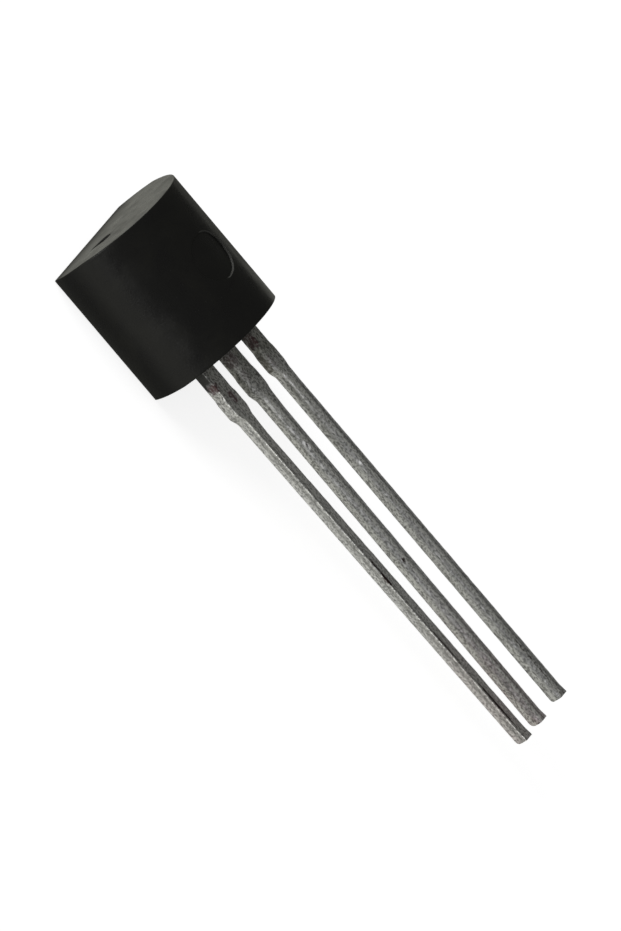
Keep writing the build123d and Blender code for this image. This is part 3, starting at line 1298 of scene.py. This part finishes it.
@dataclass
class InnerParts:
    """The die, the layer that holds it and its bond wires, on their CAD meshes."""

    die: str = "silicon_die"
    layer: str = "die_attach"
    wires: tuple[str, ...] = ("left_bond_wire", "right_bond_wire", "ground_bond_wire")

    def dress(self) -> list[Object]:
        """Give each CAD mesh its finish.

        Returns:
            The pieces.
        """
        gold = GoldWire().material()
        finishes = {self.die: DieSilicon().material(), self.layer: SilverPaste().material()}
        finishes |= {wire: gold for wire in self.wires}
        pieces = []
        for node, finish in finishes.items():
            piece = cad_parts[node]
            if not piece.material_slots:
                piece.data.materials.append(finish)
            for slot in piece.material_slots:
                slot.material = finish
            pieces.append(piece)
        return pieces


# ---- studio


def bearing(azimuth: float, elevation: float) -> Vector:
    """Direction to a viewer, in degrees: azimuth 0 is the -Y side and 90 the +X side."""
    a, e = math.radians(azimuth), math.radians(elevation)
    return Vector((math.sin(a) * math.cos(e), -math.cos(a) * math.cos(e), math.sin(e)))


def facing(away: Vector) -> Quaternion:
    """Turn of a camera or lamp that looks back along a direction."""
    return (-away).to_track_quat("-Z", "Y")


def hang(item: Object, place: Vector, turn: Quaternion) -> None:
    """Put a camera or lamp at a place in millimetres, turned.

    Args:
        item: the camera or lamp.
        place: where it goes.
        turn: how it is turned.
    """
    item.location = place * MM
    item.rotation_mode = "QUATERNION"
    item.rotation_quaternion = turn
    bpy.context.collection.objects.link(item)


@dataclass(frozen=True)
class Lamp:
    """A square soft lamp aimed at the object: degrees, millimetres and watts."""

    name: str
    azimuth: float
    elevation: float
    distance: float
    size: float
    power: float

    def light(self, aim: Vector) -> None:
        """Make the lamp.

        Args:
            aim: the point that it lights.
        """
        light = bpy.data.lights.new(self.name, "AREA")
        light.shape = "SQUARE"
        light.size = self.size * MM
        light.energy = self.power
        away = bearing(self.azimuth, self.elevation)
        lamp = bpy.data.objects.new(self.name, light)
        hang(lamp, aim + away * self.distance, facing(away))
        log.info("%s: %.2f W", self.name, self.power)


@dataclass
class Studio:
    """Camera, pale floor, pale surroundings and soft lamps."""

    aim: Triple = (6.754, -0.384, 1.447)
    azimuth: float = -13.7512
    elevation: float = 41.5996
    roll: float = 59.0252
    distance: float = 285.93
    lens: float = 379.63
    sensor: float = 36.0
    nearest: float = 0.01
    farthest: float = 20.0
    ceiling: float = 0.165
    fill: float = 0.28
    floor_reach: float = 6.0
    floor_tiles: int = 24
    floor_drop: float = 0.02
    floor_glow: float = 0.80
    painted_shadow_near: float = 0.16
    floor_far: float = 1.0
    floor_shaded: float = 0.1
    floor_ahead: float = 0.60
    floor_leads: float = 0.46
    beside_left: Pair = (-2.5, -5.0)
    beside_right: Pair = (0.0, 2.5)
    past_end: Pair = (-2.2, -2.6)
    under_leads: Pair = (2.2, 3.4)
    horizon: Pair = (0.13, -0.03)
    behind: Pair = (0.17, -0.17)
    overhead: Pair = (0.0, 0.45)
    overhead_low: float = 0.28
    shadow_share: float = 0.5
    paper: tuple[Colour, Colour] = ((0.92, 0.92, 0.92, 1.0), (0.95, 0.95, 0.95, 1.0))
    reflected: Colour = (1.0, 1.0, 0.89, 1.0)
    lamps: tuple[Lamp, ...] = (
        Lamp("soft_lamp_at_top_end", -85.0, 24.0, 360.0, 220.0, 0.75),
        Lamp("soft_lamp_at_left", -15.0, 5.0, 360.0, 96.0, 0.62),
    )

    def place_camera(self) -> None:
        """Make the camera and put it where the view is taken from."""
        data = bpy.data.cameras.new("view")
        data.lens = self.lens
        data.sensor_width = self.sensor
        data.clip_start = self.nearest
        data.clip_end = self.farthest
        camera = bpy.data.objects.new("view", data)
        back = bearing(self.azimuth, self.elevation)
        roll = Quaternion((0.0, 0.0, 1.0), math.radians(self.roll))
        hang(camera, Vector(self.aim) + back * self.distance, facing(back) @ roll)
        bpy.context.scene.camera = camera

    def glow(self, shader: Shader, kind: str, level: Value, mirrored: Value) -> Value:
        """Light of this level from a node of this kind, tinted where it is mirrored."""
        light = shader.mix(level, BLACK, shader.mix(mirrored, WHITE, self.reflected))
        return shader.add(kind, None, {"Color": light, "Strength": 1.0})

    @staticmethod
    def rays(shader: Shader) -> tuple[Value, Value]:
        """Find which rays look straight at the stage, and which are mirrored.

        Args:
            shader: the shader of a part of the stage.

        Returns:
            1 for a camera or transmission ray, and 1 for a glossy ray.
        """
        names = (f"Is {kind} Ray" for kind in ("Camera", "Transmission", "Glossy"))
        camera, through, glossy = (shader.add("ShaderNodeLightPath", output=name) for name in names)
        return camera.either(through), glossy

    def lay_floor(self) -> None:
        """Make the floor under the object, which can be seen through from below; its reflections
        carry a painted shadow round the object.
        """
        sheet = bmesh.new()
        drop = Matrix.Translation((0.0, 0.0, -self.floor_drop * MM))
        tiles, reach = self.floor_tiles, self.floor_reach
        bmesh.ops.create_grid(sheet, x_segments=tiles, y_segments=tiles, size=reach, matrix=drop)
        mesh = bpy.data.meshes.new("floor")
        sheet.to_mesh(mesh)
        sheet.free()
        floor = bpy.data.objects.new("floor", mesh)
        bpy.context.collection.objects.link(floor)
        material, shader = new_material("floor_paper")
        seen, mirrored = self.rays(shader)
        paper = shader.mix(shader.noise(0.02), *self.paper)
        unlit = (seen * (1.0 - self.shadow_share)).either(mirrored)
        paper = shader.mix(unlit, paper, BLACK)
        # The floor as seen in reflections carries a painted shadow: dark round the body and darkest
        # on its far side, lighter past the top end and under the leads, bright far out to the left.
        along, across = shader.axis("X"), shader.axis("Y")
        left = across.step(*self.beside_left, self.painted_shadow_near, self.floor_far)
        right = across.step(*self.beside_right, 1.0, self.floor_shaded) * self.painted_shadow_near
        ahead = along.step(*self.past_end) * self.floor_ahead
        leads = along.step(*self.under_leads) * self.floor_leads
        reflected = left.either(right).either(ahead).either(leads)
        level = seen * self.floor_glow + mirrored * reflected
        glow = self.glow(shader, "ShaderNodeEmission", level, mirrored)
        matt = shader.add("ShaderNodeBsdfDiffuse", None, {"Color": paper})
        lit = shader.add("ShaderNodeAddShader", None, {0: matt, 1: glow})
        below = shader.add("ShaderNodeNewGeometry", output="Backfacing")
        clear = shader.add("ShaderNodeBsdfTransparent")
        surface = shader.add("ShaderNodeMixShader", None, {0: below, 1: lit, 2: clear})
        shader.add("ShaderNodeOutputMaterial", None, {"Surface": surface})
        mesh.materials.append(material)

    def surround(self) -> None:
        """Make pale surroundings with a dim ceiling, white behind the object."""
        world = bpy.data.worlds.new("surroundings")
        world.use_nodes = True
        bpy.context.scene.world = world
        shader = Shader(world.node_tree)
        seen, mirrored = self.rays(shader)
        direction = shader.add("ShaderNodeTexCoord", output="Generated")
        height, across = shader.axis("Z", direction), shader.axis("Y", direction)
        backdrop = height.step(*self.horizon) * across.step(*self.behind)
        ceiling = height.step(*self.overhead, self.overhead_low, 1.0) * self.ceiling
        backdrop = backdrop.either(ceiling)
        level = seen + mirrored * backdrop + (1.0 - seen - mirrored) * self.fill
        glow = self.glow(shader, "ShaderNodeBackground", level, mirrored)
        shader.add("ShaderNodeOutputWorld", None, {"Surface": glow})

    def set_up(self) -> None:
        """Make everything round the object."""
        bpy.context.scene.view_settings.view_transform = "Standard"
        self.place_camera()
        self.lay_floor()
        self.surround()
        for lamp in self.lamps:
            lamp.light(Vector(self.aim))


# ---- main


def main() -> None:
    """Build the studio and every piece in order, and report each piece."""
    logging.basicConfig(level=logging.INFO, format="%(name)s: %(message)s")
    Studio().set_up()
    pieces = [Housing().build(BlackEpoxy().material())]
    tin = TinPlate().material()
    leads = (
        Lead(
            "left_lead", -1.27, 0.355, 0.57, 0.0, 0.29, 0.13, Head.LEFT_POST, 11.0,
            LEFT_LINES, LEFT_SPOTS, blush=0.6, tarnish_and_shade=0.15, staining=0.58,
        ),
        Lead(
            "centre_lead", 0.0, 0.385, 0.55, 0.0, 0.0, 0.16, Head.PADDLE, 23.0,
            CENTRE_LINES, CENTRE_SPOTS, near_roll=0.13, crown=0.05, blush=0.9,
            tarnish_and_shade=0.36, matt=0.8, resin=0.48, staining=0.85,
        ),
        Lead(
            "right_lead", 1.27, 0.39, 0.50, 0.03, 0.10, 0.10, Head.RIGHT_POST, 37.0,
            RIGHT_LINES, RIGHT_SPOTS, near_roll=0.10, crown=0.05, swell=0.0,
            tarnish_and_shade=0.9, matt=0.75, resin=0.72, staining=0.92,
        ),
    )
    pieces += [lead.build(tin) for lead in leads]
    pieces += InnerParts().dress()
    for piece in pieces:
        faces = len(piece.data.polygons)
        log.info("%s: %s, %d faces", piece.name, piece.active_material.name, faces)


if __name__ == "__main__":
    main()
